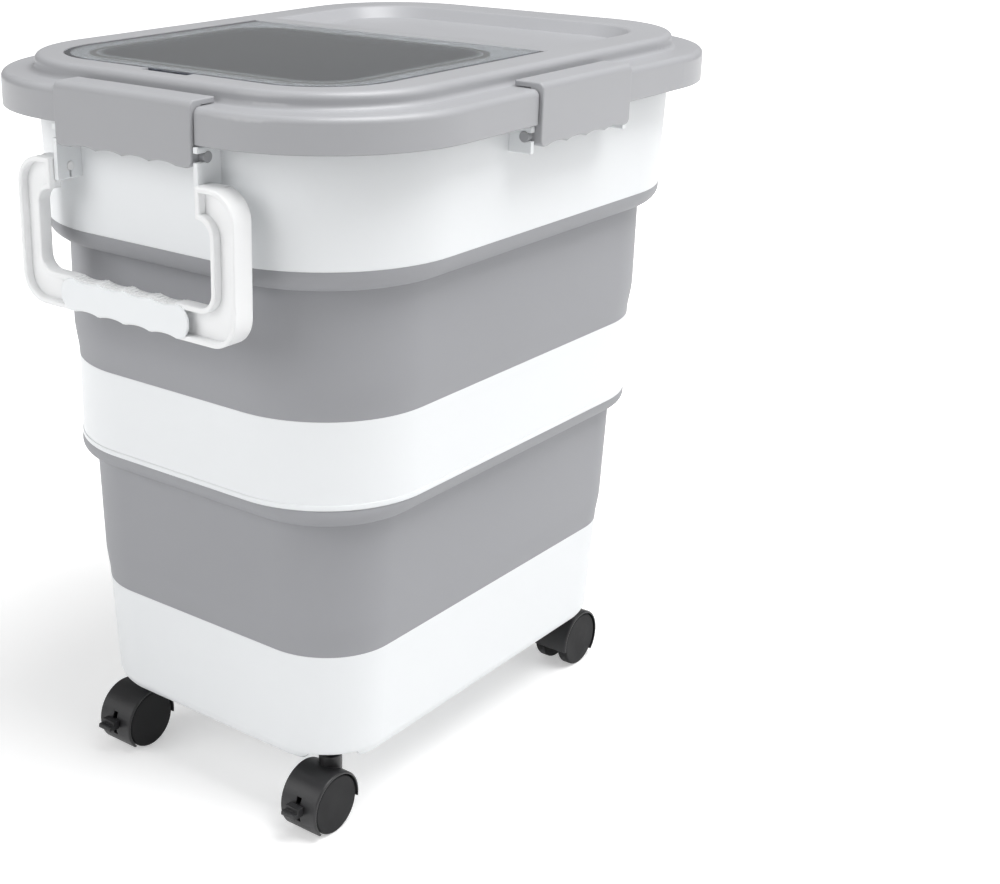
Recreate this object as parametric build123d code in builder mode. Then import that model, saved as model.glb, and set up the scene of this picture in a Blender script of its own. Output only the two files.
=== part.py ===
from build123d import *
import os
from math import atan, cos, radians, sin

# Collapsible rice container on casters. Millimetres, +Z up, floor at Z = 0,
# origin under the middle, long way along Y, front end at -Y.

os.makedirs("parts", exist_ok=True)

# Lid over its skirt
lid_length = 410.0
lid_width = 310.0
lid_corner = 92.0
lid_wall = 2.5
skirt_height = 19.0
skirt_edge_round = 4.0
plateau_inset = 19.4
plateau_rise = 9.0
plateau_edge_round = 4.0
plateau_foot_round = 3.0
lid_rib_depth = 9.0
lid_rib_wall = 2.0
lid_rib_gap = 1.2
lid_seal_height = 3.5
lid_seal_margin = 0.5

# Heights of the stacked walls, from the floor up
caster_height = 46.0
base_height = 75.0
lower_bellows_height = 97.8
middle_ring_height = 52.5
upper_bellows_height = 87.7
top_ring_height = 78.0

# Walls, each set in from the lid's skirt
wall = 2.5
top_ring_inset = 17.8
top_ring_corner = 86.0
top_ring_lean = 2.3
rim_height = 6.0
rim_width = 3.0
middle_ring_inset = 32.4
middle_ring_corner = 70.0
base_inset = 48.2
base_corner = 46.4
base_lean = 4.0
base_floor = 3.0
base_edge_round = 11.0

# Soft folding walls
bellows_wall = 1.8
fold_gap = 0.4
fold_lean_height = 22.0
upper_bellows_lean = 2.2
lower_bellows_lean = 4.4
upper_shoulder_height = 12.8
lower_shoulder_height = 11.8
shoulder_steps = 6

# Flip-up window in the front half of the lid
window_side_margin = 22.6
window_front_margin = 17.6
window_back = 25.0
window_corner = 46.0
window_thickness = 3.0
window_set_down = 0.3
window_gap = 0.35
window_ledge_width = 20.0
window_seal_height = 1.1
window_seal_width = 4.0
window_seal_inset = 1.5
window_seal_gap = 0.3
window_ledge_thickness = 2.5
window_frame_margin = 8.0
window_stub_radius = 1.3
window_stub_length = 3.0
window_hinge_chamfer = 1.5
window_edge_round = 0.8
tab_half_width = 5.0
tab_reach = 3.0
tab_bead_radius = 1.4
finger_notch_half_width = 17.0
finger_notch_reach = 6.0

# Shallow tray in the back half of the lid
tray_side_margin = 25.6
tray_front = 40.0
tray_back_margin = 30.6
tray_corner = 42.0
tray_depth = 7.5
tray_wall_run = 7.0
tray_front_run = 35.0
tray_edge_round = 2.5

# Latches and the lugs that carry them
end_latch_half_width = 51.0
side_latch_half_width = 46.5
latch_wall = 3.0
latch_proud = 2.3
latch_drop = 12.0
latch_corner = 4.0
latch_edge_round = 0.8
latch_lift = 0.5
latch_tip_gap = 3.4
latch_notch_gap = 0.6
latch_cheek_wall = 2.5
latch_axis_inset = 6.5
latch_axis_drop = 6.5
latch_cheek_setback = 1.0
trunnion_radius = 3.0
trunnion_boss_radius = 4.4
trunnion_proud = 0.2
grip_groove_chord = 20.0
grip_groove_depth = 1.5
latch_grooves = 4
scoop_chord = 46.0
scoop_depth = 2.2
scoop_run = 8.0
running_clearance = 0.05
snap_slot_height = 4.8
lug_wall = 3.2
lug_gap = 0.5
lug_top_gap = 0.8
lug_edge_round = 0.8
end_lug_height = 31.5
end_lug_reach = 1.0
side_lug_height = 15.0
side_lug_reach = -2.0

# Swing handles on the two short ends
handle_half_width = 82.0
handle_arm = 17.0
handle_bar = 20.0
handle_drop = 78.7
handle_rise = 5.3
handle_corner = 17.0
handle_inner_corner = 9.0
handle_proud = 4.7
handle_depth = 13.4
handle_web_depth = 8.4
handle_recess = 5.0
handle_rim = 3.0
handle_edge_round = 0.8
handle_end_gap = 0.35
handle_end_length = 13.0
handle_end_radius = 5.2
handle_pivot_inset = 8.0
handle_pivot_drop = 25.3
handle_pin_radius = 2.5
handle_pin_proud = 0.3
handle_slit = 1.2
handle_slit_length = 6.0
grip_half_width = 49.0
grip_margin = 0.6
grip_proud = 1.5
grip_plug_gap = 0.2
grip_end_round = 9.0
grip_edge_round = 0.8
grip_grooves = 4

# Twin-wheel casters
caster_inset = 24.0
wheel_radius = 19.0
wheel_width = 7.6
wheel_edge_round = 1.5
wheel_face_wall = 2.0
wheel_gap = 0.4
caster_trail = 10.0
hood_gap = 0.7
hood_wall = 1.5
hood_side_lip = 0.6
hood_edge_round = 1.2
hood_back_angle = -8.0
hood_front_angle = 222.0
web_thickness = 10.0
hub_radius = 7.0
axle_radius = 3.0
axle_chamfer = 0.4
push_clearance = 0.02
neck_radius = 7.2
neck_top_gap = 0.3
stem_radius = 4.0
stem_depth = 30.0
stem_height = 24.0
collar_radius = 6.6
collar_height = 7.5
collar_chamfer = 1.4
pocket_radius = 20.0
pocket_depth = 8.0
pocket_roof = 3.0
stem_boss_radius = 7.5
stem_boss_cap = 2.0

# Brake lever in the hood's front slot
lever_angle = 176.0
lever_half_angle = 8.0
lever_width = 5.4
lever_side_gap = 0.3
lever_end_gap = 0.3
lever_neck_width = 3.0
lever_neck_half_angle = 4.5
lever_up_travel = 16.0
lever_down_travel = 16.0
lever_stop_angle = 2.0
slot_side_gap = 0.3
paddle_width = 10.0
paddle_length = 8.5
paddle_thickness = 3.2
paddle_step_length = 5.0
paddle_step_height = 2.6
paddle_lift = 0.6
paddle_edge_round = 1.1

# How far a cut or a root runs past a face, and how close a face lies to its height
over = 1.0
face_tolerance = 0.01

# Heights that follow from the stack
base_bottom = caster_height
base_top = base_bottom + base_height
middle_bottom = base_top + lower_bellows_height
middle_top = middle_bottom + middle_ring_height
ring_bottom = middle_top + upper_bellows_height
ring_rim = ring_bottom + top_ring_height
flange_underside = ring_rim + lid_seal_height
flange_top = flange_underside + lid_wall
skirt_bottom = flange_top - skirt_height
plateau_top = flange_top + plateau_rise
plateau_underside = plateau_top - lid_wall

# Window and tray outlines on the plateau, and their heights
plateau_half_width = lid_width / 2 - plateau_inset
plateau_half_length = lid_length / 2 - plateau_inset
window_half_width = plateau_half_width - window_side_margin
window_front = window_front_margin - plateau_half_length
tray_half_width = plateau_half_width - tray_side_margin
tray_back = plateau_half_length - tray_back_margin
panel_top = plateau_top - window_set_down
panel_bottom = panel_top - window_thickness
ledge_top = panel_bottom - window_seal_height - window_seal_gap
ledge_bottom = ledge_top - window_ledge_thickness
hinge_y = window_back - window_thickness / 2
hinge_z = panel_bottom + window_thickness / 2
tray_floor = plateau_top - tray_depth

# Pivot heights and travels
latch_axis_z = skirt_bottom - latch_axis_drop
handle_axis_z = skirt_bottom - handle_pivot_drop
upper_fold_travel = ring_bottom - middle_bottom
lower_fold_travel = middle_bottom - base_bottom

# Caster places and heights
caster_x = lid_width / 2 - base_inset - base_lean - caster_inset
caster_y = lid_length / 2 - base_inset - base_lean - caster_inset
pocket_top = base_bottom + pocket_depth
stem_bottom = stem_depth
stem_top = pocket_top + stem_height
collar_bottom = pocket_top - collar_height
neck_top = collar_bottom - neck_top_gap
hood_inner_radius = wheel_radius + hood_gap
hood_outer_radius = hood_inner_radius + hood_wall
wheel_inner_face = web_thickness / 2 + wheel_gap
wheel_outer_face = wheel_inner_face + wheel_width
hood_half_width = wheel_outer_face + hood_side_lip
wheel_bore_depth = wheel_width - wheel_face_wall

UP = Vector(0, 0, 1)
OUTWARD = {
    "front": Vector(0, -1, 0),
    "back": Vector(0, 1, 0),
    "left": Vector(-1, 0, 0),
    "right": Vector(1, 0, 0),
}
CASTERS = {
    "front_left": (-1, -1),
    "front_right": (1, -1),
    "back_left": (-1, 1),
    "back_right": (1, 1),
}
FROM_BELOW = (Align.CENTER, Align.CENTER, Align.MIN)


def save(piece, name):
    """Name a finished piece and write it out."""
    piece.part.label = name
    export_step(piece.part, f"parts/{name}.step")


def skirt_distance(side):
    """Distance from the middle to the lid's skirt on one side."""
    return lid_length / 2 if side in ("front", "back") else lid_width / 2


def latch_half_width(side):
    return end_latch_half_width if side in ("front", "back") else side_latch_half_width


def face_plane(side, distance):
    """Upright plane that looks outward: local x along the wall, local y up."""
    outward = OUTWARD[side]
    return Plane(origin=outward * distance, x_dir=UP.cross(outward), z_dir=outward)


def section_plane(side, along=0.0):
    """Upright plane across a wall: local x outward, local y up."""
    across = OUTWARD[side].cross(UP)
    return Plane(origin=across * along, x_dir=OUTWARD[side], z_dir=across)


def outline(height, inset, corner):
    """Rounded outline of the container, set in from the lid's skirt."""
    with BuildSketch(Plane.XY.offset(height)) as sketch:
        RectangleRounded(lid_width - 2 * inset, lid_length - 2 * inset, corner)
    return sketch.sketch


def outlines(levels):
    return [outline(*level).face() for level in levels]


def band(height, outer_inset, inner_inset, corner):
    """Flat loop between two insets, with the corner radius of the outer one."""
    with BuildSketch(Plane.XY.offset(height)) as sketch:
        RectangleRounded(lid_width - 2 * outer_inset, lid_length - 2 * outer_inset, corner)
        inner_corner = corner - (inner_inset - outer_inset)
        RectangleRounded(
            lid_width - 2 * inner_inset, lid_length - 2 * inner_inset, inner_corner, mode=Mode.SUBTRACT
        )
    return sketch.sketch


def inward(levels, amount):
    return [(height, inset + amount, corner - amount) for height, inset, corner in levels]


def level_at(levels, height):
    """Level of a straight leaning wall at any height."""
    low, high = levels
    share = (height - low[0]) / (high[0] - low[0])
    inset = low[1] + share * (high[1] - low[1])
    corner = low[2] + share * (high[2] - low[2])
    return (height, inset, corner)


def groove_radius(chord, depth):
    return (chord * chord / 4 + depth * depth) / (2 * depth)


base_levels = [
    (base_bottom, base_inset + base_lean, base_corner - base_lean),
    (base_top, base_inset, base_corner),
]
ring_levels = [
    (ring_bottom, top_ring_inset, top_ring_corner),
    (ring_rim, top_ring_inset - top_ring_lean, top_ring_corner + top_ring_lean),
]
rim_inset = ring_levels[1][1]
rim_corner = ring_levels[1][2]


# Base tub, with a pocket and a stem boss for each caster
tub_floor = level_at(base_levels, base_bottom + base_floor)
tub_mouth = level_at(base_levels, base_top + over)
with BuildPart() as tub_space:
    loft(outlines(inward([tub_floor, tub_mouth], wall)), ruled=True)
    fillet(tub_space.edges().group_by(Axis.Z)[0], base_edge_round - wall)
    with Locations((0, 0, base_bottom)):
        with GridLocations(2 * caster_x, 2 * caster_y, 2, 2):
            Cylinder(
                pocket_radius + wall, pocket_depth + pocket_roof, align=FROM_BELOW, mode=Mode.SUBTRACT
            )
            Cylinder(
                stem_boss_radius,
                pocket_depth + stem_height + stem_boss_cap,
                align=FROM_BELOW,
                mode=Mode.SUBTRACT,
            )

with BuildPart() as base_tub:
    loft(outlines(base_levels), ruled=True)
    fillet(base_tub.edges().group_by(Axis.Z)[0], base_edge_round)
    add(tub_space.part, mode=Mode.SUBTRACT)
    with Locations((0, 0, base_bottom)):
        with GridLocations(2 * caster_x, 2 * caster_y, 2, 2):
            Cylinder(pocket_radius, pocket_depth, align=FROM_BELOW, mode=Mode.SUBTRACT)
            Cylinder(
                stem_radius + running_clearance,
                pocket_depth + stem_height,
                align=FROM_BELOW,
                mode=Mode.SUBTRACT,
            )
save(base_tub, "base_tub")


# Middle ring
with BuildPart() as middle_ring:
    ring_band = band(middle_bottom, middle_ring_inset, middle_ring_inset + wall, middle_ring_corner)
    extrude(ring_band, amount=middle_ring_height)
save(middle_ring, "middle_ring")


def bellows_levels(foot, head, lean, shoulder_height, skin):
    """Levels of a folding wall, skin deep inside its outer face: foot, leaning wall, shoulder."""
    foot_height, foot_inset, foot_corner = foot
    head_height, head_inset, head_corner = head
    wall_inset = foot_inset - lean
    wall_corner = foot_corner + lean
    fold_offset = bellows_wall + fold_gap
    turn = 2 * atan((wall_inset - head_inset) / shoulder_height)
    radius = shoulder_height / sin(turn)
    levels = [
        (foot_height, foot_inset + skin, foot_corner - skin),
        (foot_height + fold_lean_height, foot_inset - fold_offset + skin, foot_corner + fold_offset - skin),
        (head_height - shoulder_height, wall_inset + skin, wall_corner - skin),
    ]
    # The outer face's shoulder starts at the wall's own top; the inner one is set off from it
    first_step = shoulder_steps if skin else shoulder_steps - 1
    for step in range(first_step, -1, -1):
        share = step / shoulder_steps
        height = head_height - (radius - skin) * sin(turn * share)
        inset = head_inset + radius - (radius - skin) * cos(turn * share)
        corner = head_corner + share * (wall_corner - head_corner) - skin
        levels.append((height, inset, corner))
    return levels


# Soft folding walls, moulded onto the rigid walls above and below
middle_foot = (middle_bottom, middle_ring_inset, middle_ring_corner)
middle_head = (middle_top, middle_ring_inset, middle_ring_corner)
BELLOWS = {
    "lower_bellows": (base_levels[1], middle_foot, lower_bellows_lean, lower_shoulder_height),
    "upper_bellows": (middle_head, ring_levels[0], upper_bellows_lean, upper_shoulder_height),
}
for bellows_name, shape in BELLOWS.items():
    with BuildPart() as bellows:
        loft(outlines(bellows_levels(*shape, 0.0)), ruled=True)
        loft(outlines(bellows_levels(*shape, bellows_wall)), ruled=True, mode=Mode.SUBTRACT)
    save(bellows, bellows_name)


# Top ring, with its rim and the lugs for latches and handles
def lug_offsets(side):
    inner = latch_half_width(side) + lug_gap
    return inner, inner + lug_wall


with BuildPart() as top_ring:
    loft(outlines(ring_levels), ruled=True)
    extrude(outline(ring_rim - rim_height, rim_inset - rim_width, rim_corner + rim_width), amount=rim_height)
    for side in OUTWARD:
        at_end = side in ("front", "back")
        lug_top = skirt_bottom - lug_top_gap
        lug_height = end_lug_height if at_end else side_lug_height
        lug_reach = skirt_distance(side) + (end_lug_reach if at_end else side_lug_reach)
        lug_root = skirt_distance(side) - middle_ring_inset
        lug_inner, lug_outer = lug_offsets(side)
        with BuildSketch(face_plane(side, lug_root)):
            with Locations((0, lug_top - lug_height / 2)):
                with GridLocations(lug_inner + lug_outer, 0, 2, 1):
                    RectangleRounded(lug_wall, lug_height, lug_edge_round)
        extrude(amount=lug_reach - lug_root)
    ring_space = [level_at(ring_levels, height) for height in (ring_bottom - over, ring_rim + over)]
    loft(outlines(inward(ring_space, wall)), ruled=True, mode=Mode.SUBTRACT)
    for side in OUTWARD:
        lug_outer = lug_offsets(side)[1]
        trunnion_at = skirt_distance(side) - latch_axis_inset
        slot_reach = latch_axis_inset + end_lug_reach + over
        with BuildSketch(section_plane(side)):
            with Locations((trunnion_at, latch_axis_z)):
                Circle(trunnion_radius + running_clearance)
                Rectangle(slot_reach, snap_slot_height, align=(Align.MIN, Align.CENTER))
        extrude(amount=lug_outer + over, both=True, mode=Mode.SUBTRACT)
        if side in ("front", "back"):
            with BuildSketch(section_plane(side)):
                with Locations((skirt_distance(side) - handle_pivot_inset, handle_axis_z)):
                    Circle(handle_pin_radius + running_clearance)
                    Rectangle(handle_slit, handle_slit_length, align=(Align.CENTER, Align.MAX))
            extrude(amount=lug_outer + over, both=True, mode=Mode.SUBTRACT)
save(top_ring, "top_ring")


# Lid seal between the ring's rim and the lid's flange
with BuildPart() as lid_seal:
    seal_band = band(
        ring_rim,
        rim_inset - lid_seal_margin,
        rim_inset + wall + lid_seal_margin,
        rim_corner + lid_seal_margin,
    )
    extrude(seal_band, amount=lid_seal_height)
save(lid_seal, "lid_seal")


def window_outline(height, grow):
    """Outline of the window: square at the hinge, round at the front."""
    with BuildSketch(Plane.XY.offset(height)) as sketch:
        with Locations((0, (window_front + window_back) / 2)):
            Rectangle(2 * (window_half_width + grow), window_back - window_front + 2 * grow)
        fillet(sketch.vertices().group_by(Axis.Y)[0], window_corner + grow)
    return sketch.sketch


def mouth_outline(height, grow):
    """Outline of the mouth under the window, rounded at all its corners."""
    inset = window_ledge_width - grow
    with BuildSketch(Plane.XY.offset(height)) as sketch:
        with Locations((0, (window_front + window_back) / 2)):
            RectangleRounded(
                2 * (window_half_width - inset),
                window_back - window_front - 2 * inset,
                window_corner - inset,
            )
    return sketch.sketch


def tray_outlines(grow, drop):
    """Top and bottom outlines of the tray; its floor rises to nothing at the front."""
    faces = []
    for height, run, front_run in (
        (plateau_top, 0.0, 0.0),
        (tray_floor, tray_wall_run, tray_front_run),
    ):
        front = tray_front + front_run - grow
        back = tray_back - run + grow
        with BuildSketch(Plane.XY.offset(height - drop)) as sketch:
            with Locations((0, (front + back) / 2)):
                Rectangle(2 * (tray_half_width - run + grow), back - front)
            fillet(sketch.vertices().group_by(Axis.Y)[-1], tray_corner - run + grow)
        faces.append(sketch.sketch.face())
    return faces


# Lid: the hollow under it first, then the moulding
rib_outer = rim_inset + wall + lid_rib_gap
rib_corner = rim_corner - wall - lid_rib_gap
with BuildPart() as lid_space:
    extrude(outline(skirt_bottom, lid_wall, lid_corner - lid_wall), amount=flange_underside - skirt_bottom)
    plateau_wall_inset = plateau_inset + lid_wall
    extrude(
        outline(flange_underside, plateau_wall_inset, lid_corner - plateau_wall_inset),
        amount=plateau_underside - flange_underside,
    )
    land_inset = rim_inset - lid_rib_gap
    land = band(flange_underside, land_inset, rib_outer + lid_rib_wall, rim_corner + lid_rib_gap)
    extrude(land, amount=plateau_rise, mode=Mode.SUBTRACT)
    rib = band(flange_underside, rib_outer, rib_outer + lid_rib_wall, rib_corner)
    extrude(rib, amount=-lid_rib_depth, mode=Mode.SUBTRACT)
    extrude(
        window_outline(ledge_bottom, window_gap + window_frame_margin),
        amount=plateau_top - ledge_bottom,
        mode=Mode.SUBTRACT,
    )
    loft(tray_outlines(lid_wall, lid_wall), ruled=True, mode=Mode.SUBTRACT)

with BuildPart() as lid:
    extrude(outline(skirt_bottom, 0.0, lid_corner), amount=skirt_height)
    extrude(outline(flange_top, plateau_inset, lid_corner - plateau_inset), amount=plateau_rise)
    fillet(lid.faces().sort_by(Axis.Z)[-1].outer_wire().edges(), plateau_edge_round)
    flange_range = (flange_top - face_tolerance, flange_top + face_tolerance)
    flange = lid.faces().filter_by_position(Axis.Z, *flange_range)[0]
    fillet(flange.inner_wires()[0].edges(), plateau_foot_round)
    flange = lid.faces().filter_by_position(Axis.Z, *flange_range)[0]
    fillet(flange.outer_wire().edges(), skirt_edge_round)
    add(lid_space.part, mode=Mode.SUBTRACT)
    extrude(window_outline(ledge_top, window_gap), amount=plateau_top - ledge_top, mode=Mode.SUBTRACT)
    extrude(mouth_outline(ledge_bottom, 0.0), amount=plateau_top - ledge_bottom, mode=Mode.SUBTRACT)
    loft(tray_outlines(0.0, 0.0), ruled=True, mode=Mode.SUBTRACT)
    tray_edge = lid.faces().sort_by(Axis.Z)[-1].inner_wires().sort_by(Axis.Y)[-1]
    fillet(tray_edge.edges().sort_by(Axis.Y)[1:], tray_edge_round)
    stub_reach = window_half_width + window_stub_length + window_gap
    with Locations(Plane.YZ):
        with Locations((hinge_y, hinge_z, 0)):
            Cylinder(window_stub_radius + running_clearance, 2 * stub_reach, mode=Mode.SUBTRACT)
    hinge_edge = window_back + window_gap
    with BuildSketch(Plane.YZ):
        with BuildLine():
            Polyline(
                (hinge_edge, plateau_top - window_hinge_chamfer),
                (hinge_edge + window_hinge_chamfer, plateau_top),
                (hinge_edge, plateau_top),
                close=True,
            )
        make_face()
    extrude(amount=window_half_width, both=True, mode=Mode.SUBTRACT)
    with Locations((0, window_front, panel_bottom)):
        Box(
            2 * finger_notch_half_width,
            2 * finger_notch_reach,
            plateau_top - panel_bottom,
            align=FROM_BELOW,
            mode=Mode.SUBTRACT,
        )
    for side in OUTWARD:
        with BuildSketch(face_plane(side, skirt_distance(side) - latch_axis_inset)):
            with Locations((0, (skirt_bottom + flange_top) / 2)):
                Rectangle(2 * (latch_half_width(side) + latch_notch_gap), skirt_height + 2 * over)
        extrude(amount=latch_axis_inset + over, mode=Mode.SUBTRACT)
save(lid, "lid")


# Clear window with its hinge stubs and front tab
with BuildPart() as window_panel:
    extrude(window_outline(panel_bottom, 0.0), amount=window_thickness)
    hinge_edges = window_panel.edges().filter_by(Axis.X).group_by(Axis.Y)[-1]
    fillet(hinge_edges, window_thickness / 2 - running_clearance)
    with Locations(Plane.YZ):
        with Locations((hinge_y, hinge_z, 0)):
            Cylinder(window_stub_radius, 2 * (window_half_width + window_stub_length))
    pane_edges = window_panel.faces().sort_by(Axis.Z)[-1].edges()
    fillet(pane_edges.sort_by(Axis.Y)[:-1], window_edge_round)
    with Locations((0, window_front, panel_bottom)):
        Box(2 * tab_half_width, 2 * tab_reach, window_thickness, align=FROM_BELOW)
    with Locations(Plane.YZ):
        with Locations((window_front - tab_reach + tab_bead_radius, plateau_top - tab_bead_radius, 0)):
            Cylinder(tab_bead_radius, 2 * tab_half_width)
save(window_panel, "window_panel")


# Soft seal bonded under the window
with BuildPart() as window_seal:
    seal_top = panel_bottom - window_seal_height
    extrude(mouth_outline(seal_top, window_seal_inset + window_seal_width), amount=window_seal_height)
    extrude(mouth_outline(seal_top, window_seal_inset), amount=window_seal_height, mode=Mode.SUBTRACT)
save(window_seal, "window_seal")


def make_latch(side):
    """Hooked latch plate with two end cheeks, each with a moulded trunnion."""
    half_width = latch_half_width(side)
    skirt = skirt_distance(side)
    outer = skirt + latch_proud
    inner = outer - latch_wall
    hook_bottom = flange_top + latch_lift
    hook_top = hook_bottom + latch_wall
    tip = skirt - plateau_inset + latch_tip_gap
    foot = skirt_bottom - latch_drop
    axis_at = skirt - latch_axis_inset
    lug_outer = lug_offsets(side)[1]
    with BuildPart() as latch:
        with BuildSketch(section_plane(side)) as profile:
            with BuildLine():
                Polyline(
                    (inner, foot),
                    (outer, foot),
                    (outer, hook_top),
                    (tip, hook_top),
                    (tip, hook_bottom),
                    (inner, hook_bottom),
                    close=True,
                )
            make_face()
            fillet(profile.vertices().group_by(Axis.Y)[-1].sort_by(Axis.X)[-1], latch_corner)
        extrude(amount=half_width, both=True)
        for end in (-1, 1):
            with BuildSketch(section_plane(side, end * (half_width - latch_cheek_wall / 2))):
                cheek_back = axis_at + latch_cheek_setback
                with Locations(((cheek_back + inner) / 2, (foot + hook_bottom) / 2)):
                    Rectangle(inner - cheek_back + over, hook_bottom - foot + over)
                with Locations((axis_at, latch_axis_z)):
                    Circle(trunnion_boss_radius)
            extrude(amount=latch_cheek_wall / 2, both=True)
        with BuildSketch(face_plane(side, tip - over)) as front_view:
            with Locations((0, (foot + hook_top) / 2)):
                Rectangle(2 * half_width, hook_top - foot)
            fillet(front_view.vertices().group_by(Axis.Y)[0], latch_corner)
            groove = groove_radius(grip_groove_chord, grip_groove_depth)
            with Locations((0, foot + grip_groove_depth - groove)):
                with GridLocations(grip_groove_chord, 0, latch_grooves, 1):
                    Circle(groove, mode=Mode.SUBTRACT)
        extrude(amount=outer - tip + 2 * over, mode=Mode.INTERSECT)
        plate = latch.faces().sort_by(Axis((0, 0, 0), OUTWARD[side]))[-1]
        fillet(plate.edges().sort_by(Axis.Z)[:-1], latch_edge_round)
        outward = OUTWARD[side]
        scoop = groove_radius(scoop_chord, scoop_depth)
        scoop_axis = outward * scoop_run + UP * scoop_depth
        scoop_start = outward * tip + UP * (hook_top - scoop_depth + scoop)
        with Locations(Plane(origin=scoop_start, x_dir=UP.cross(outward), z_dir=scoop_axis)):
            Cylinder(scoop, 2 * scoop_run, mode=Mode.SUBTRACT)
        for end in (-1, 1):
            start = section_plane(side, end * (half_width - latch_cheek_wall))
            with BuildSketch(start):
                with Locations((axis_at, latch_axis_z)):
                    Circle(trunnion_radius)
            extrude(amount=end * (lug_outer + trunnion_proud - half_width + latch_cheek_wall))
    return latch


for side in OUTWARD:
    save(make_latch(side), f"latch_{side}")


def make_handle(side):
    """Swing handle: a recessed channel loop whose ends turn in to pins through the lugs."""
    pivot_at = skirt_distance(side) - handle_pivot_inset
    front = skirt_distance(side) + handle_proud
    web_back = front - handle_web_depth
    bottom = handle_axis_z - handle_drop
    top = handle_axis_z + handle_rise
    height = top - bottom
    lug_inner, lug_outer = lug_offsets(side)
    end_at = lug_outer + handle_end_gap
    inner_half = handle_half_width - handle_arm
    inner_bottom = bottom + handle_bar
    inner_top = top - handle_arm
    groove = groove_radius(grip_groove_chord, grip_groove_depth)

    def loop(distance, shrink, inner_grow):
        with BuildSketch(face_plane(side, distance)) as sketch:
            with Locations((0, (top + bottom) / 2)):
                RectangleRounded(
                    2 * (handle_half_width - shrink), height - 2 * shrink, handle_corner - shrink
                )
            with Locations((0, (inner_top + inner_bottom) / 2)):
                RectangleRounded(
                    2 * (inner_half + inner_grow),
                    inner_top - inner_bottom + 2 * inner_grow,
                    handle_inner_corner + inner_grow,
                    mode=Mode.SUBTRACT,
                )
            with Locations((0, top)):
                Rectangle(2 * (end_at + shrink), 2 * (handle_arm + over), mode=Mode.SUBTRACT)
        return sketch.sketch

    def bar_grooves(distance, depth_along):
        for edge, away in ((bottom, -1), (inner_bottom, 1)):
            with BuildSketch(face_plane(side, distance)) as sketch:
                with Locations((0, edge + away * (groove - grip_groove_depth))):
                    with GridLocations(grip_groove_chord, 0, grip_grooves, 1):
                        Circle(groove)
                with Locations((0, edge)):
                    Rectangle(2 * inner_half, handle_bar, mode=Mode.INTERSECT)
            extrude(sketch.sketch, amount=depth_along, mode=Mode.SUBTRACT)

    with BuildPart() as handle:
        extrude(loop(web_back, 0.0, 0.0), amount=handle_web_depth)
        rim_grow = handle_arm - handle_rim
        extrude(
            loop(front - handle_depth, 0.0, rim_grow),
            amount=handle_depth - handle_web_depth + over,
        )
        for end in (-1, 1):
            with BuildSketch(section_plane(side, end * end_at)):
                with Locations((pivot_at, handle_axis_z)):
                    Circle(handle_end_radius)
                    Rectangle(
                        web_back - pivot_at + over,
                        2 * handle_rise,
                        align=(Align.MIN, Align.CENTER),
                    )
            extrude(amount=end * handle_end_length)
        extrude(loop(front - handle_recess, handle_rim, handle_rim), amount=handle_recess, mode=Mode.SUBTRACT)
        rim_face = handle.faces().sort_by(Axis((0, 0, 0), OUTWARD[side]))[-1]
        fillet(rim_face.edges(), handle_edge_round)
        bar_grooves(front - handle_depth, handle_depth)
        for end in (-1, 1):
            with BuildSketch(section_plane(side, end * (lug_inner - handle_pin_proud))):
                with Locations((pivot_at, handle_axis_z)):
                    Circle(handle_pin_radius)
            extrude(amount=end * (end_at - lug_inner + handle_pin_proud + over))

    plug_gap = handle_rim + grip_plug_gap
    with BuildPart() as grip:
        with BuildSketch(face_plane(side, front - handle_recess)):
            with Locations((0, bottom + handle_bar / 2)):
                Rectangle(2 * (grip_half_width - grip_end_round), handle_bar - 2 * plug_gap)
        extrude(amount=handle_recess)
        with BuildSketch(face_plane(side, front)):
            with Locations((0, bottom + handle_bar / 2)):
                RectangleRounded(2 * grip_half_width, handle_bar - 2 * grip_margin, grip_end_round)
            for edge, away in ((bottom + grip_margin, -1), (inner_bottom - grip_margin, 1)):
                with Locations((0, edge + away * (groove - grip_groove_depth))):
                    with GridLocations(grip_groove_chord, 0, grip_grooves, 1):
                        Circle(groove, mode=Mode.SUBTRACT)
        extrude(amount=grip_proud)
        fillet(grip.faces().sort_by(Axis((0, 0, 0), OUTWARD[side]))[-1].edges(), grip_edge_round)
    return handle, grip


for side in ("front", "back"):
    handle, grip = make_handle(side)
    save(handle, f"handle_{side}")
    save(grip, f"handle_grip_{side}")


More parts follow.
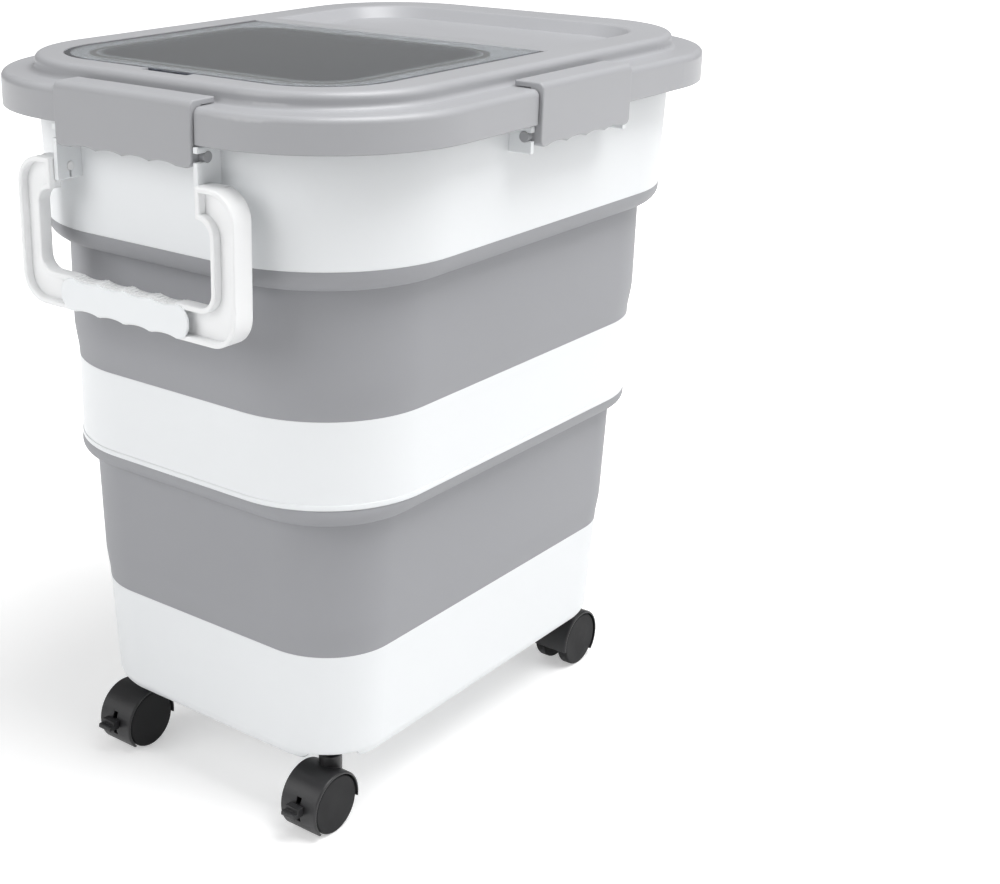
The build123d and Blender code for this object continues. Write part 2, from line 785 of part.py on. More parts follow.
def make_caster(across, end):
    """Stem, hood, axle, two wheels and brake lever of one caster, trailing towards its end."""
    x = across * caster_x
    y = end * caster_y
    axle_at = (x, y + end * caster_trail, wheel_radius)
    side_view = Plane(origin=axle_at, x_dir=(0, -end, 0), z_dir=(-end, 0, 0))

    def sector(radius, start, end):
        """Pie slice about the axle, by angles from the stem's side over the top."""
        with BuildSketch(side_view) as sketch:
            with BuildLine():
                first = Line((0, 0), (radius * cos(radians(start)), radius * sin(radians(start))))
                arc = CenterArc((0, 0), radius, start, end - start)
                Line(arc @ 1, first @ 0)
            make_face()
        return sketch.sketch

    def disc(radius, along=0.0):
        with BuildSketch(side_view.offset(along)) as sketch:
            Circle(radius)
        return sketch.sketch

    with BuildPart() as stem:
        with Locations((x, y, stem_bottom)):
            Cylinder(stem_radius, stem_top - stem_bottom, align=FROM_BELOW)
        with Locations((x, y, collar_bottom)):
            Cylinder(collar_radius, collar_height, align=FROM_BELOW)
        chamfer(stem.edges().filter_by(GeomType.CIRCLE).group_by(SortBy.RADIUS)[-1], collar_chamfer)

    slot_start = lever_angle - lever_neck_half_angle - lever_up_travel - lever_stop_angle
    slot_end = lever_angle + lever_neck_half_angle + lever_down_travel + lever_stop_angle
    pocket_start = lever_angle - lever_half_angle - lever_up_travel - lever_stop_angle
    pocket_end = lever_angle + lever_half_angle + lever_down_travel + lever_stop_angle
    lever_room = sector(hood_inner_radius, pocket_start, pocket_end) - disc(hub_radius)
    slot_room = sector(hood_outer_radius + over, slot_start, slot_end) - disc(hood_inner_radius - over)
    with BuildPart() as hood:
        shell = sector(hood_outer_radius, hood_back_angle, hood_front_angle)
        extrude(shell, amount=hood_half_width, both=True)
        fillet(hood.edges().filter_by(GeomType.CIRCLE), hood_edge_round)
        with Locations((x, y, wheel_radius)):
            Cylinder(neck_radius, neck_top - wheel_radius, align=FROM_BELOW)
        extrude(disc(hub_radius), amount=web_thickness / 2, both=True)
        for direction in (-1, 1):
            wheel_room = disc(hood_inner_radius, direction * web_thickness / 2)
            extrude(wheel_room, amount=direction * hood_half_width, mode=Mode.SUBTRACT)
        with Locations((x, y, stem_bottom - neck_top_gap)):
            Cylinder(
                stem_radius + running_clearance,
                neck_top - stem_bottom + neck_top_gap,
                align=FROM_BELOW,
                mode=Mode.SUBTRACT,
            )
        extrude(disc(axle_radius + running_clearance), amount=web_thickness, both=True, mode=Mode.SUBTRACT)
        extrude(lever_room, amount=lever_width / 2 + lever_side_gap, both=True, mode=Mode.SUBTRACT)
        extrude(slot_room, amount=lever_neck_width / 2 + slot_side_gap, both=True, mode=Mode.SUBTRACT)

    with BuildPart() as axle:
        extrude(disc(axle_radius), amount=wheel_inner_face + wheel_bore_depth, both=True)
        chamfer(axle.edges().filter_by(GeomType.CIRCLE), axle_chamfer)

    wheels = {}
    for hand, direction in (("left", -1), ("right", 1)):
        inner_face = direction * wheel_inner_face
        with BuildPart() as wheel:
            extrude(disc(wheel_radius, inner_face), amount=direction * wheel_width)
            fillet(wheel.edges().filter_by(GeomType.CIRCLE), wheel_edge_round)
            bore = disc(axle_radius + push_clearance, inner_face)
            extrude(bore, amount=direction * wheel_bore_depth, mode=Mode.SUBTRACT)
        wheels[hand] = wheel

    lever_root = hub_radius + 2 * running_clearance
    lever_shoulder = hood_inner_radius - lever_end_gap
    paddle_start = hood_outer_radius + paddle_lift
    lever_direction = (0, -end * cos(radians(lever_angle)), sin(radians(lever_angle)))
    lever_body = sector(lever_shoulder, lever_angle - lever_half_angle, lever_angle + lever_half_angle)
    lever_neck = sector(
        paddle_start + over, lever_angle - lever_neck_half_angle, lever_angle + lever_neck_half_angle
    )
    with BuildPart() as lever:
        extrude(lever_body - disc(lever_root), amount=lever_width / 2, both=True)
        extrude(lever_neck - disc(lever_root), amount=lever_neck_width / 2, both=True)
        with BuildSketch(Plane(side_view.origin, x_dir=lever_direction, z_dir=side_view.z_dir)) as paddle:
            with Locations((paddle_start, 0)):
                Rectangle(paddle_length, paddle_thickness, align=(Align.MIN, Align.CENTER))
            with Locations((paddle_start, -paddle_thickness / 2)):
                Rectangle(paddle_step_length, paddle_step_height, align=(Align.MIN, Align.MAX))
            fillet(paddle.vertices().group_by(Axis.X)[-1], paddle_edge_round)
        extrude(amount=paddle_width / 2, both=True)
    return stem, hood, axle, wheels, lever


for place, (across, end) in CASTERS.items():
    stem, hood, axle, wheels, lever = make_caster(across, end)
    save(stem, f"caster_stem_{place}")
    save(hood, f"caster_hood_{place}")
    save(axle, f"caster_axle_{place}")
    save(wheels["left"], f"caster_left_wheel_{place}")
    save(wheels["right"], f"caster_right_wheel_{place}")
    save(lever, f"brake_lever_{place}")
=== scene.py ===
from math import atan, cos, radians, sin

import bmesh
import bpy
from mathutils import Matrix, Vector


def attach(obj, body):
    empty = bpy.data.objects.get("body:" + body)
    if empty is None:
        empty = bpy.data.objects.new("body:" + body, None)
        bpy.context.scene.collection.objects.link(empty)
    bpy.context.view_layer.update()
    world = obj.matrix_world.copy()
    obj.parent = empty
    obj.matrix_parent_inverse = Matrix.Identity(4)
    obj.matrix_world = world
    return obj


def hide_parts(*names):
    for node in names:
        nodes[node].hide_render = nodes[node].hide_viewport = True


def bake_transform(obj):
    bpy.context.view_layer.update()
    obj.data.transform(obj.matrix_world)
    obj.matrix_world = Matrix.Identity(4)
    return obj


# A collapsible rice container on casters, in metres. +Z is up, the floor is at Z = 0 and the
# front end faces -Y.
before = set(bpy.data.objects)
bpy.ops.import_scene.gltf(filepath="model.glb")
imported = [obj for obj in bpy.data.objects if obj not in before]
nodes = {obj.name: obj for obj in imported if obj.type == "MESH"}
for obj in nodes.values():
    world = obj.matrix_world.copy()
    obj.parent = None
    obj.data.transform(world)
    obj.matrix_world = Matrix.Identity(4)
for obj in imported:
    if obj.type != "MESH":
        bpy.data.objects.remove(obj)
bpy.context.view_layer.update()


# Base tub: one white injection moulding, satin, tapering to the floor. It carries the
# casters in four round pockets, and the lower folding wall is moulded onto its top edge.
moulded_surface = bpy.data.node_groups.new("moulded surface", "ShaderNodeTree")
for label in ("Cloud Scale", "Grain Scale", "Edge Radius"):
    moulded_surface.interface.new_socket(label, in_out="INPUT", socket_type="NodeSocketFloat")
for label in ("Cloud", "Grain", "Scuff"):
    moulded_surface.interface.new_socket(label, in_out="OUTPUT", socket_type="NodeSocketFloat")
moulded_surface.interface.new_socket("Rounded", in_out="OUTPUT", socket_type="NodeSocketVector")
surface_nodes = moulded_surface.nodes
surface_links = moulded_surface.links
group_in = surface_nodes.new("NodeGroupInput")
group_out = surface_nodes.new("NodeGroupOutput")
place = surface_nodes.new("ShaderNodeTexCoord")
cloud = surface_nodes.new("ShaderNodeTexNoise")
cloud.inputs["Detail"].default_value = 3.0
cloud.inputs["Roughness"].default_value = 0.55
grain = surface_nodes.new("ShaderNodeTexNoise")
grain.inputs["Detail"].default_value = 2.0
speck = surface_nodes.new("ShaderNodeTexNoise")
speck.inputs["Scale"].default_value = 180.0
speck.inputs["Detail"].default_value = 4.0
rounding = surface_nodes.new("ShaderNodeBevel")
rounding.samples = 4
true_face = surface_nodes.new("ShaderNodeNewGeometry")
turn = surface_nodes.new("ShaderNodeVectorMath")
turn.operation = "DOT_PRODUCT"
edge = surface_nodes.new("ShaderNodeMapRange")
edge.inputs["From Min"].default_value = 0.985
edge.inputs["From Max"].default_value = 0.80
broken = surface_nodes.new("ShaderNodeMapRange")
broken.inputs["From Min"].default_value = 0.42
broken.inputs["From Max"].default_value = 0.66
scuff = surface_nodes.new("ShaderNodeMath")
scuff.operation = "MULTIPLY"
for texture in (cloud, grain, speck):
    surface_links.new(place.outputs["Object"], texture.inputs["Vector"])
surface_links.new(group_in.outputs["Cloud Scale"], cloud.inputs["Scale"])
surface_links.new(group_in.outputs["Grain Scale"], grain.inputs["Scale"])
surface_links.new(group_in.outputs["Edge Radius"], rounding.inputs["Radius"])
surface_links.new(rounding.outputs["Normal"], turn.inputs[0])
surface_links.new(true_face.outputs["Normal"], turn.inputs[1])
surface_links.new(turn.outputs["Value"], edge.inputs["Value"])
surface_links.new(speck.outputs["Fac"], broken.inputs["Value"])
surface_links.new(edge.outputs["Result"], scuff.inputs[0])
surface_links.new(broken.outputs["Result"], scuff.inputs[1])
surface_links.new(cloud.outputs["Fac"], group_out.inputs["Cloud"])
surface_links.new(grain.outputs["Fac"], group_out.inputs["Grain"])
surface_links.new(scuff.outputs["Value"], group_out.inputs["Scuff"])
surface_links.new(rounding.outputs["Normal"], group_out.inputs["Rounded"])


def moulded(
    name,
    shade,
    light,
    scuffed,
    dull,
    glossy,
    grain_depth,
    cloud_scale=9.0,
    grain_scale=900.0,
    edge_radius=0.0008,
):
    """Moulded plastic or rubber: clouded colour, scuffed edges, uneven gloss and a fine grain."""
    material = bpy.data.materials.new(name)
    material.use_nodes = True
    tree = material.node_tree
    shader = tree.nodes["Principled BSDF"]
    shader.inputs["IOR"].default_value = 1.49
    skin = tree.nodes.new("ShaderNodeGroup")
    skin.node_tree = moulded_surface
    skin.inputs["Cloud Scale"].default_value = cloud_scale
    skin.inputs["Grain Scale"].default_value = grain_scale
    skin.inputs["Edge Radius"].default_value = edge_radius
    tone = tree.nodes.new("ShaderNodeMix")
    tone.data_type = "RGBA"
    tone.inputs["A"].default_value = (*shade, 1.0)
    tone.inputs["B"].default_value = (*light, 1.0)
    worn = tree.nodes.new("ShaderNodeMix")
    worn.data_type = "RGBA"
    worn.inputs["B"].default_value = (*scuffed, 1.0)
    gloss = tree.nodes.new("ShaderNodeMapRange")
    gloss.inputs["From Min"].default_value = 0.3
    gloss.inputs["From Max"].default_value = 0.7
    gloss.inputs["To Min"].default_value = glossy
    gloss.inputs["To Max"].default_value = dull
    relief = tree.nodes.new("ShaderNodeBump")
    relief.inputs["Strength"].default_value = 0.35
    relief.inputs["Distance"].default_value = grain_depth
    tree.links.new(skin.outputs["Cloud"], tone.inputs["Factor"])
    tree.links.new(tone.outputs["Result"], worn.inputs["A"])
    tree.links.new(skin.outputs["Scuff"], worn.inputs["Factor"])
    tree.links.new(worn.outputs["Result"], shader.inputs["Base Color"])
    tree.links.new(skin.outputs["Cloud"], gloss.inputs["Value"])
    tree.links.new(gloss.outputs["Result"], shader.inputs["Roughness"])
    tree.links.new(skin.outputs["Grain"], relief.inputs["Height"])
    tree.links.new(skin.outputs["Rounded"], relief.inputs["Normal"])
    tree.links.new(relief.outputs["Normal"], shader.inputs["Normal"])
    return material


def finish_node(name, material):
    """Give one CAD node its finish."""
    node = nodes[name]
    node.data.materials.clear()
    node.data.materials.append(material)


white_shell = moulded(
    "white shell",
    shade=(0.835, 0.855, 0.87),
    light=(0.857, 0.875, 0.888),
    scuffed=(0.78, 0.79, 0.795),
    dull=0.46,
    glossy=0.34,
    grain_depth=0.00006,
)
finish_node("base_tub", white_shell)


# Casters: bought-in twin-wheel casters. A chrome-plated steel stem pushes up into each pocket
# of the tub; the black nylon hood swivels on it, and two wheels sit on one axle in its web.
black_hood = moulded(
    "black hood",
    shade=(0.014, 0.014, 0.015),
    light=(0.022, 0.022, 0.024),
    scuffed=(0.07, 0.07, 0.07),
    dull=0.48,
    glossy=0.34,
    grain_depth=0.00012,
    cloud_scale=40.0,
    grain_scale=1500.0,
    edge_radius=0.0006,
)
black_wheel = moulded(
    "black wheel",
    shade=(0.010, 0.010, 0.011),
    light=(0.017, 0.017, 0.018),
    scuffed=(0.06, 0.06, 0.06),
    dull=0.56,
    glossy=0.40,
    grain_depth=0.00010,
    cloud_scale=55.0,
    grain_scale=1200.0,
    edge_radius=0.0006,
)
black_wheel.node_tree.nodes["Principled BSDF"].inputs["Specular IOR Level"].default_value = 0.15
chrome = bpy.data.materials.new("chrome stem")
chrome.use_nodes = True
chrome_nodes = chrome.node_tree.nodes
chrome_links = chrome.node_tree.links
plating = chrome_nodes["Principled BSDF"]
plating.inputs["Metallic"].default_value = 1.0
chrome_skin = chrome_nodes.new("ShaderNodeGroup")
chrome_skin.node_tree = moulded_surface
chrome_skin.inputs["Cloud Scale"].default_value = 160.0
chrome_skin.inputs["Edge Radius"].default_value = 0.0003
chrome_tone = chrome_nodes.new("ShaderNodeMix")
chrome_tone.data_type = "RGBA"
chrome_tone.inputs["A"].default_value = (0.62, 0.62, 0.64, 1.0)
chrome_tone.inputs["B"].default_value = (0.78, 0.78, 0.80, 1.0)
chrome_gloss = chrome_nodes.new("ShaderNodeMapRange")
chrome_gloss.inputs["To Min"].default_value = 0.08
chrome_gloss.inputs["To Max"].default_value = 0.24
chrome_links.new(chrome_skin.outputs["Cloud"], chrome_tone.inputs["Factor"])
chrome_links.new(chrome_tone.outputs["Result"], plating.inputs["Base Color"])
chrome_links.new(chrome_skin.outputs["Cloud"], chrome_gloss.inputs["Value"])
chrome_links.new(chrome_gloss.outputs["Result"], plating.inputs["Roughness"])
chrome_links.new(chrome_skin.outputs["Rounded"], plating.inputs["Normal"])
for corner in ("front_left", "front_right", "back_left", "back_right"):
    finish_node(f"caster_stem_{corner}", chrome)
    finish_node(f"caster_axle_{corner}", chrome)
    finish_node(f"caster_hood_{corner}", black_hood)
    finish_node(f"brake_lever_{corner}", black_hood)
    finish_node(f"caster_left_wheel_{corner}", black_wheel)
    finish_node(f"caster_right_wheel_{corner}", black_wheel)


# Folding walls: soft grey elastomer, moulded onto the rigid wall below and the one above.
# Each is a thin straight wall with a rounded shoulder at its head, and it turns inside out
# over the wall below when the container is pushed flat.
lid_width = 0.310
lid_length = 0.410
corner_segments = 24

# The rigid edges that the walls join: heights, insets from the lid's outline and corner radii.
base_top = 0.1210
base_inset = 0.0482
base_corner = 0.0464
middle_bottom = 0.2188
middle_top = 0.2713
middle_inset = 0.0324
middle_corner = 0.0700
top_ring_bottom = 0.3590
top_ring_inset = 0.0178
top_ring_corner = 0.0860

# The wall's thickness, its step outwards over the bend at its foot, and the levels drawn up it.
fold_wall = 0.0018
fold_step = 0.0022
bend_height = 0.022
bend_levels = 8
straight_levels = 14
shoulder_levels = 12
soft_wall = moulded(
    "soft wall",
    shade=(0.312, 0.316, 0.334),
    light=(0.342, 0.346, 0.365),
    scuffed=(0.40, 0.40, 0.42),
    dull=0.62,
    glossy=0.50,
    grain_depth=0.00005,
    cloud_scale=7.0,
    grain_scale=1100.0,
    edge_radius=0.0004,
)


def wall_levels(foot, head, lean, shoulder_height, skin):
    """Levels of a folding wall from its foot up, that far inside its outer face."""
    foot_height, foot_inset, foot_corner = foot
    head_height, head_inset, head_corner = head
    shoulder_turn = 2.0 * atan((foot_inset - lean - head_inset) / shoulder_height)
    shoulder_radius = shoulder_height / sin(shoulder_turn)
    shoulder_foot = head_height - shoulder_height
    bend_top = foot_height + bend_height
    levels = []
    for count in range(bend_levels + 1):
        share = count / bend_levels
        shift = fold_step * share * share * (3.0 - 2.0 * share)
        height = foot_height + bend_height * share
        levels.append((height, foot_inset - shift + skin, foot_corner + shift - skin))
    for count in range(1, straight_levels + 1):
        share = count / straight_levels
        shift = fold_step + (lean - fold_step) * share
        height = bend_top + (shoulder_foot - bend_top) * share
        levels.append((height, foot_inset - shift + skin, foot_corner + shift - skin))
    # On the outer face the straight stretch already ends at the shoulder's first level.
    first_count = shoulder_levels if skin else shoulder_levels - 1
    for count in range(first_count, -1, -1):
        share = count / shoulder_levels
        height = head_height - (shoulder_radius - skin) * sin(shoulder_turn * share)
        inset = head_inset + shoulder_radius - (shoulder_radius - skin) * cos(shoulder_turn * share)
        corner = head_corner + share * (foot_corner + lean - head_corner) - skin
        levels.append((height, inset, corner))
    return levels


def corner_middle(point, inset, corner):
    """Middle of the corner arc on which a point of one level lies."""
    across = lid_width / 2 - inset - corner
    along = lid_length / 2 - inset - corner
    return Vector((across if point.x > 0.0 else -across, along if point.y > 0.0 else -along, 0.0))


def drawn_round(name, levels, material):
    """A closed band round the container, drawn through levels of height, inset and corner radius."""
    height, inset, corner = levels[0]
    shape = bmesh.new()
    rim = bmesh.ops.create_grid(shape, x_segments=1, y_segments=1, size=0.5)["verts"]
    bmesh.ops.scale(shape, vec=(lid_width - 2 * inset, lid_length - 2 * inset, 1.0), verts=rim)
    bmesh.ops.translate(shape, vec=(0.0, 0.0, height), verts=rim)
    bmesh.ops.bevel(
        shape,
        geom=rim,
        offset=corner,
        affect="VERTICES",
        segments=corner_segments,
        profile=0.5,
        material=-1,
    )
    bmesh.ops.delete(shape, geom=shape.faces[:], context="FACES_ONLY")
    loop = shape.edges[:]
    for next_height, next_inset, next_corner in levels[1:] + levels[:1]:
        drawn = bmesh.ops.extrude_edge_only(shape, edges=loop)["geom"]
        loop = [item for item in drawn if isinstance(item, bmesh.types.BMEdge)]
        for point in [item for item in drawn if isinstance(item, bmesh.types.BMVert)]:
            outward = (point.co - corner_middle(point.co, inset, corner)) / corner
            outward.z = 0.0
            point.co = corner_middle(point.co, next_inset, next_corner) + outward * next_corner
            point.co.z = next_height
        inset = next_inset
        corner = next_corner
    bmesh.ops.remove_doubles(shape, verts=shape.verts[:], dist=0.00001)
    bmesh.ops.recalc_face_normals(shape, faces=shape.faces[:])
    mesh = bpy.data.meshes.new(name)
    shape.to_mesh(mesh)
    shape.free()
    mesh.shade_smooth()
    mesh.set_sharp_from_angle(angle=radians(32.0))
    mesh.materials.append(material)
    drawn_piece = bpy.data.objects.new(name, mesh)
    bpy.context.scene.collection.objects.link(drawn_piece)
    return drawn_piece


def folding_wall(name, foot, head, lean, shoulder_height):
    """One soft wall between two rigid edges, drawn up its outer face and down its inner one."""
    outside = wall_levels(foot, head, lean, shoulder_height, 0.0)
    inside = wall_levels(foot, head, lean, shoulder_height, fold_wall)
    wall = drawn_round(name, outside + inside[::-1], soft_wall)
    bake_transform(wall)
    return wall


lower_wall = folding_wall(
    "lower_folding_wall",
    foot=(base_top, base_inset, base_corner),
    head=(middle_bottom, middle_inset, middle_corner),
    lean=0.0044,
    shoulder_height=0.0118,
)
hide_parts("lower_bellows")
upper_wall = folding_wall(
    "upper_folding_wall",
    foot=(middle_top, middle_inset, middle_corner),
    head=(top_ring_bottom, top_ring_inset, top_ring_corner),
    lean=0.0022,
    shoulder_height=0.0128,
)
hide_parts("upper_bellows")


# Middle ring and top ring: white injection mouldings like the tub. The top ring carries the
# lugs in which the latches and the handles turn, and a rim for the lid's seal.
finish_node("middle_ring", white_shell)
finish_node("top_ring", white_shell)


# Bead: a low rounded band round the middle ring's lower edge, moulded in one with the ring
# from the same white plastic. Its section is given upwards from the ring's lower edge, with
# how far each point stands out of the ring's face.
bead_proud = 0.0005
bead_root = -0.0003
bead_section = (
    (0.0001, bead_root),
    (0.0002, 0.0003),
    (0.0005, bead_proud),
    (0.0029, bead_proud),
    (0.0033, 0.0004),
    (0.0035, bead_root),
)
bead_levels = [
    (middle_bottom + rise, middle_inset - proud, middle_corner + proud) for rise, proud in bead_section
]
bead = drawn_round("middle_ring_bead", bead_levels, white_shell)
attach(bead, "middle")


# Lid: one grey moulding with a deep skirt, a raised middle, a frame for the window and a
# shallow tray. Soft rubber seals sit between its flange and the top ring's rim, and under
# the window.
grey_lid = moulded(
    "grey lid",
    shade=(0.358, 0.362, 0.378),
    light=(0.386, 0.390, 0.406),
    scuffed=(0.50, 0.50, 0.51),
    dull=0.42,
    glossy=0.30,
    grain_depth=0.00006,
)
seal_rubber = moulded(
    "seal rubber",
    shade=(0.58, 0.58, 0.58),
    light=(0.64, 0.64, 0.64),
    scuffed=(0.66, 0.66, 0.66),
    dull=0.7,
    glossy=0.55,
    grain_depth=0.00008,
    cloud_scale=30.0,
    grain_scale=1200.0,
    edge_radius=0.0003,
)
finish_node("lid", grey_lid)
finish_node("lid_seal", seal_rubber)
finish_node("window_seal", seal_rubber)


# Window: a clear, slightly smoky polystyrene panel that flips up on two stubs at its back
# edge and snaps shut at its front tab. Over the lid's mouth its tint is darker, painted shade
# for the container's dark inside; over the border that rests on the lid it is matt and pale,
# painted light for the lit ledge under it. It is dark along its front and side rim, a painted
# shadow of the gap round the panel.
mouth_half_width = 0.093
mouth_half_length = 0.0765
mouth_middle = -0.0715
mouth_corner = 0.026
border_width = 0.020
# Width of the painted shadow along the pane's rim.
rim_shadow_width = 0.0035
clear = bpy.data.materials.new("clear window")
clear.use_nodes = True
pane_nodes = clear.node_tree.nodes
pane_links = clear.node_tree.links
pane = pane_nodes["Principled BSDF"]
pane.inputs["Transmission Weight"].default_value = 0.87
pane.inputs["IOR"].default_value = 1.38
pane_skin = pane_nodes.new("ShaderNodeGroup")
pane_skin.node_tree = moulded_surface
pane_skin.inputs["Cloud Scale"].default_value = 14.0
pane_skin.inputs["Edge Radius"].default_value = 0.0006
pane_place = pane_nodes.new("ShaderNodeTexCoord")
pane_axes = pane_nodes.new("ShaderNodeSeparateXYZ")
pane_links.new(pane_place.outputs["Object"], pane_axes.inputs["Vector"])


def pane_sum(operation, first, second=0.0):
    """One step of the pane's border sum; each side is a socket or a number."""
    step = pane_nodes.new("ShaderNodeMath")
    step.operation = operation
    for term, value in zip(step.inputs, (first, second)):
        if isinstance(value, float):
            term.default_value = value
        else:
            pane_links.new(value, term)
    return step.outputs["Value"]


# Distance outwards from the edge of the lid's mouth, a rounded rectangle under the pane.
from_side = pane_sum("ABSOLUTE", pane_axes.outputs["X"])
from_end = pane_sum("ABSOLUTE", pane_sum("SUBTRACT", pane_axes.outputs["Y"], mouth_middle))
past_side = pane_sum("SUBTRACT", from_side, mouth_half_width - mouth_corner)
past_end = pane_sum("SUBTRACT", from_end, mouth_half_length - mouth_corner)
beyond_side = pane_sum("MAXIMUM", past_side)
beyond_end = pane_sum("MAXIMUM", past_end)
side_square = pane_sum("MULTIPLY", beyond_side, beyond_side)
end_square = pane_sum("MULTIPLY", beyond_end, beyond_end)
beyond = pane_sum("POWER", pane_sum("ADD", side_square, end_square), 0.5)
within = pane_sum("MINIMUM", pane_sum("MAXIMUM", past_side, past_end))
from_mouth = pane_sum("SUBTRACT", pane_sum("ADD", beyond, within), mouth_corner)
# Painted shadow: a dark line along the pane's front and side rim, for the gap round the panel.
front_half = pane_sum("LESS_THAN", pane_axes.outputs["Y"], mouth_middle)
front_shadow_edge = pane_sum("GREATER_THAN", from_mouth, border_width - rim_shadow_width)
front_rim_shadow = pane_sum("MULTIPLY", front_shadow_edge, front_half)
side_rim_shadow = pane_sum("GREATER_THAN", from_side, mouth_half_width + border_width - rim_shadow_width)
# Painted light and shade in the pane's tone: dark over the mouth for the container's dark inside, pale
# over the border for the lit ledge under it. The border is matt as well.
lit_and_matt_border = pane_nodes.new("ShaderNodeMapRange")
lit_and_matt_border.inputs["From Min"].default_value = -0.0030
lit_and_matt_border.inputs["From Max"].default_value = 0.0016
pane_painted_shade_and_light = pane_nodes.new("ShaderNodeMix")
pane_painted_shade_and_light.data_type = "RGBA"
pane_painted_shade_and_light.inputs["A"].default_value = (0.30, 0.325, 0.35, 1.0)
pane_painted_shade_and_light.inputs["B"].default_value = (0.92, 0.965, 1.0, 1.0)
# Dark colour of the painted shadow along the pane's rim.
pane_rim_shadow = pane_nodes.new("ShaderNodeMix")
pane_rim_shadow.data_type = "RGBA"
pane_rim_shadow.inputs["B"].default_value = (0.10, 0.11, 0.15, 1.0)
pane_gloss = pane_nodes.new("ShaderNodeMapRange")
pane_gloss.inputs["To Min"].default_value = 0.02
pane_gloss.inputs["To Max"].default_value = 0.08
pane_matt = pane_nodes.new("ShaderNodeMix")
pane_matt.inputs["B"].default_value = 0.16
pane_links.new(from_mouth, lit_and_matt_border.inputs["Value"])
pane_links.new(lit_and_matt_border.outputs["Result"], pane_painted_shade_and_light.inputs["Factor"])
pane_links.new(pane_painted_shade_and_light.outputs["Result"], pane_rim_shadow.inputs["A"])
pane_links.new(pane_sum("MAXIMUM", front_rim_shadow, side_rim_shadow), pane_rim_shadow.inputs["Factor"])
pane_links.new(pane_rim_shadow.outputs["Result"], pane.inputs["Base Color"])
pane_links.new(pane_skin.outputs["Cloud"], pane_gloss.inputs["Value"])
pane_links.new(lit_and_matt_border.outputs["Result"], pane_matt.inputs["Factor"])
pane_links.new(pane_gloss.outputs["Result"], pane_matt.inputs["A"])
pane_links.new(pane_matt.outputs["Result"], pane.inputs["Roughness"])
pane_links.new(pane_skin.outputs["Rounded"], pane.inputs["Normal"])
finish_node("window_panel", clear)


# Latches: four grey mouldings that hook over the lid's edge and turn on trunnions in the
# top ring's lugs.
for side in ("front", "back", "left", "right"):
    finish_node(f"latch_{side}", grey_lid)


# Handles: a white moulded channel loop on each short end, swinging on pins in the lugs, with
# an off-white grip plate pushed into its lower bar.
white_handle = moulded(
    "white handle",
    shade=(0.905, 0.912, 0.917),
    light=(0.922, 0.928, 0.932),
    scuffed=(0.80, 0.805, 0.81),
    dull=0.42,
    glossy=0.30,
    grain_depth=0.00005,
    cloud_scale=18.0,
    grain_scale=1000.0,
    edge_radius=0.0010,
)
pale_grip = moulded(
    "pale grip",
    shade=(0.872, 0.896, 0.912),
    light=(0.892, 0.912, 0.926),
    scuffed=(0.77, 0.785, 0.80),
    dull=0.52,
    glossy=0.40,
    grain_depth=0.00010,
    cloud_scale=30.0,
    grain_scale=1300.0,
    edge_radius=0.0008,
)
for side in ("front", "back"):
    finish_node(f"handle_{side}", white_handle)
    finish_node(f"handle_grip_{side}", pale_grip)


# Grip ribs: fine ribs moulded across the top of each handle's lower bar, in the handle's own
# plastic, following the bar's four finger grooves.
bar_top = 0.340
bar_distance = 0.2054
groove_chord = 0.020
groove_depth = 0.0015
groove_radius = (groove_chord * groove_chord / 4 + groove_depth * groove_depth) / (2 * groove_depth)
rib_size = (0.0010, 0.0060, 0.0009)
rib_rounding = 0.0003
rib_step = 0.0026
ribs_each_way = 15
for side, end in (("front", -1.0), ("back", 1.0)):
    ribs = bmesh.new()
    for count in range(-ribs_each_way, ribs_each_way + 1):
        across = rib_step * count
        from_groove = across % groove_chord - groove_chord / 2
        drop = groove_depth - groove_radius + (groove_radius**2 - from_groove**2) ** 0.5
        rib = bmesh.ops.create_cube(ribs, size=1.0)["verts"]
        bmesh.ops.scale(ribs, vec=rib_size, verts=rib)
        bmesh.ops.translate(ribs, vec=(across, end * bar_distance, bar_top - drop), verts=rib)
    bmesh.ops.bevel(
        ribs,
        geom=ribs.edges[:],
        offset=rib_rounding,
        affect="EDGES",
        segments=2,
        profile=0.5,
        material=-1,
    )
    rib_mesh = bpy.data.meshes.new(f"grip_ribs_{side}")
    ribs.to_mesh(rib_mesh)
    ribs.free()
    rib_mesh.shade_smooth()
    rib_mesh.materials.append(white_handle)
    rib_row = bpy.data.objects.new(f"grip_ribs_{side}", rib_mesh)
    bpy.context.scene.collection.objects.link(rib_row)
    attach(rib_row, f"{side}_handle")


# Floor: a plain white studio floor, wide enough to fill the picture. It shows white away from
# the container, also in gloss and through the window, and keeps the soft shadow under it.
floor_reach = 14.0
floor_shape = bmesh.new()
bmesh.ops.create_grid(floor_shape, x_segments=1, y_segments=1, size=floor_reach)
floor_mesh = bpy.data.meshes.new("floor")
floor_shape.to_mesh(floor_mesh)
floor_shape.free()
floor = bpy.data.objects.new("floor", floor_mesh)
bpy.context.scene.collection.objects.link(floor)
studio_white = bpy.data.materials.new("studio white")
studio_white.use_nodes = True
floor_nodes = studio_white.node_tree.nodes
floor_links = studio_white.node_tree.links
floor_shader = floor_nodes["Principled BSDF"]
floor_shader.inputs["Base Color"].default_value = (0.78, 0.78, 0.78, 1.0)
floor_shader.inputs["Roughness"].default_value = 0.9
floor_shader.inputs["Specular IOR Level"].default_value = 0.0
floor_shader.inputs["Emission Color"].default_value = (1.0, 1.0, 1.0, 1.0)
ray = floor_nodes.new("ShaderNodeLightPath")
seen = floor_nodes.new("ShaderNodeMath")
seen.operation = "MAXIMUM"
seen_through = floor_nodes.new("ShaderNodeMath")
seen_through.operation = "MAXIMUM"
ground = floor_nodes.new("ShaderNodeTexCoord")
away = floor_nodes.new("ShaderNodeVectorMath")
away.operation = "LENGTH"
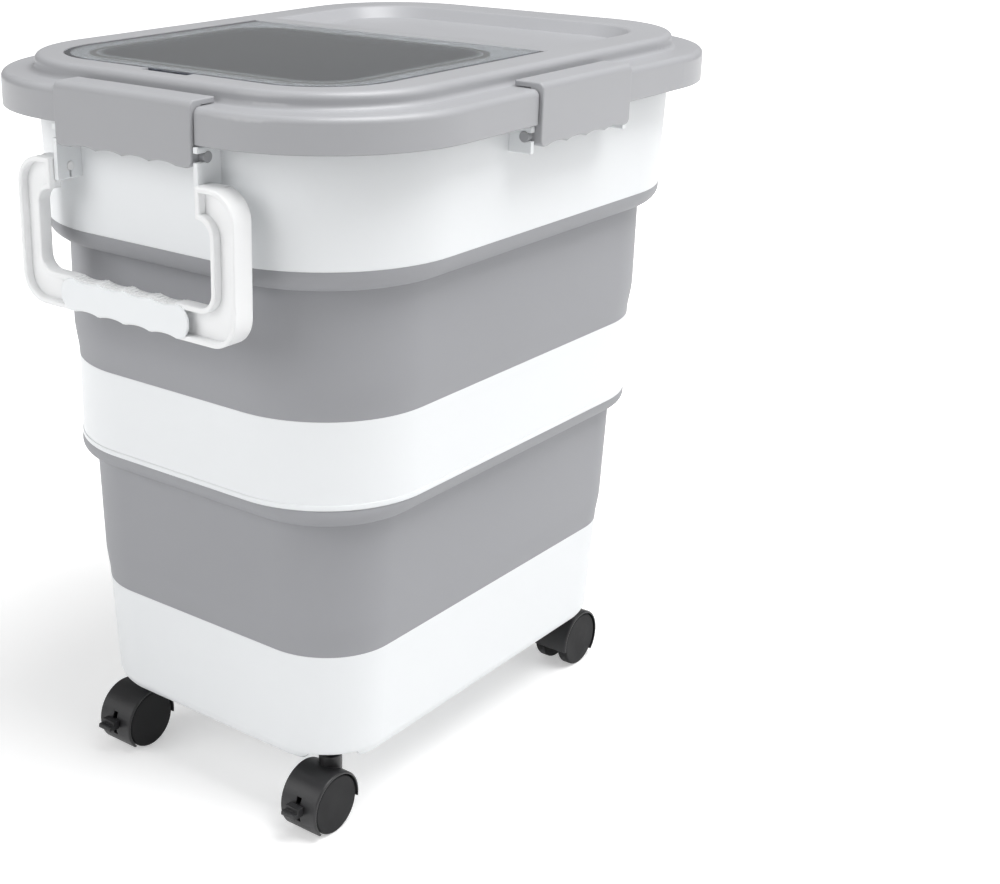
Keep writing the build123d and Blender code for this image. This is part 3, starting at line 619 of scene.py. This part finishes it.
fade = floor_nodes.new("ShaderNodeMapRange")
fade.interpolation_type = "SMOOTHSTEP"
fade.inputs["From Min"].default_value = 0.25
fade.inputs["From Max"].default_value = 0.95
fade.inputs["To Min"].default_value = 0.40
fade.inputs["To Max"].default_value = 1.0
glow = floor_nodes.new("ShaderNodeMath")
glow.operation = "MULTIPLY"
floor_links.new(ground.outputs["Object"], away.inputs[0])
floor_links.new(away.outputs["Value"], fade.inputs["Value"])
floor_links.new(ray.outputs["Is Camera Ray"], seen.inputs[0])
floor_links.new(ray.outputs["Is Glossy Ray"], seen.inputs[1])
floor_links.new(seen.outputs["Value"], seen_through.inputs[0])
floor_links.new(ray.outputs["Is Transmission Ray"], seen_through.inputs[1])
floor_links.new(seen_through.outputs["Value"], glow.inputs[0])
floor_links.new(fade.outputs["Result"], glow.inputs[1])
floor_links.new(glow.outputs["Value"], floor_shader.inputs["Emission Strength"])
floor_mesh.materials.append(studio_white)


# Studio light: three large soft boxes, a weak one to the right, a stronger one in front to
# the left and the strongest overhead, a little to the right, in an even white surround.
soft_box_size = 1.8


def soft_box(name, place, aim, power):
    """One square lamp on its stand, turned towards a point."""
    lamp = bpy.data.lights.new(name, "AREA")
    lamp.shape = "SQUARE"
    lamp.size = soft_box_size
    lamp.energy = power
    stand = bpy.data.objects.new(name, lamp)
    bpy.context.scene.collection.objects.link(stand)
    stand.location = place
    stand.rotation_euler = (Vector(aim) - Vector(place)).to_track_quat("-Z", "Y").to_euler()


soft_box("right soft box", place=(2.3, 0.9, 1.5), aim=(0.0, 0.0, 0.25), power=14.0)
soft_box("left soft box", place=(-0.9, -2.3, 1.5), aim=(0.0, 0.0, 0.25), power=29.0)
soft_box("overhead soft box", place=(0.9, 0.2, 2.6), aim=(0.0, 0.0, 0.3), power=73.0)
surround = bpy.data.worlds.new("surround")
surround.use_nodes = True
sky = surround.node_tree.nodes["Background"]
sky.inputs["Color"].default_value = (1.0, 1.0, 1.0, 1.0)
sky.inputs["Strength"].default_value = 0.30
bpy.context.scene.world = surround


# Camera: as the container was photographed, from the front right and a little above, with the
# container left of the frame's middle.
looking_down = 20.29
turned_left = 39.75
camera_data = bpy.data.cameras.new("camera")
camera_data.sensor_width = 36.0
camera_data.sensor_fit = "HORIZONTAL"
camera_data.lens = 60.49
camera_data.shift_x = 0.1768
camera_data.shift_y = -0.0222
camera = bpy.data.objects.new("camera", camera_data)
bpy.context.scene.collection.objects.link(camera)
camera.location = (0.6421, -0.8130, 0.5884)
camera.rotation_euler = (radians(90.0 - looking_down), 0.0, radians(turned_left))
bpy.context.scene.camera = camera
bpy.context.scene.view_settings.view_transform = "Standard"
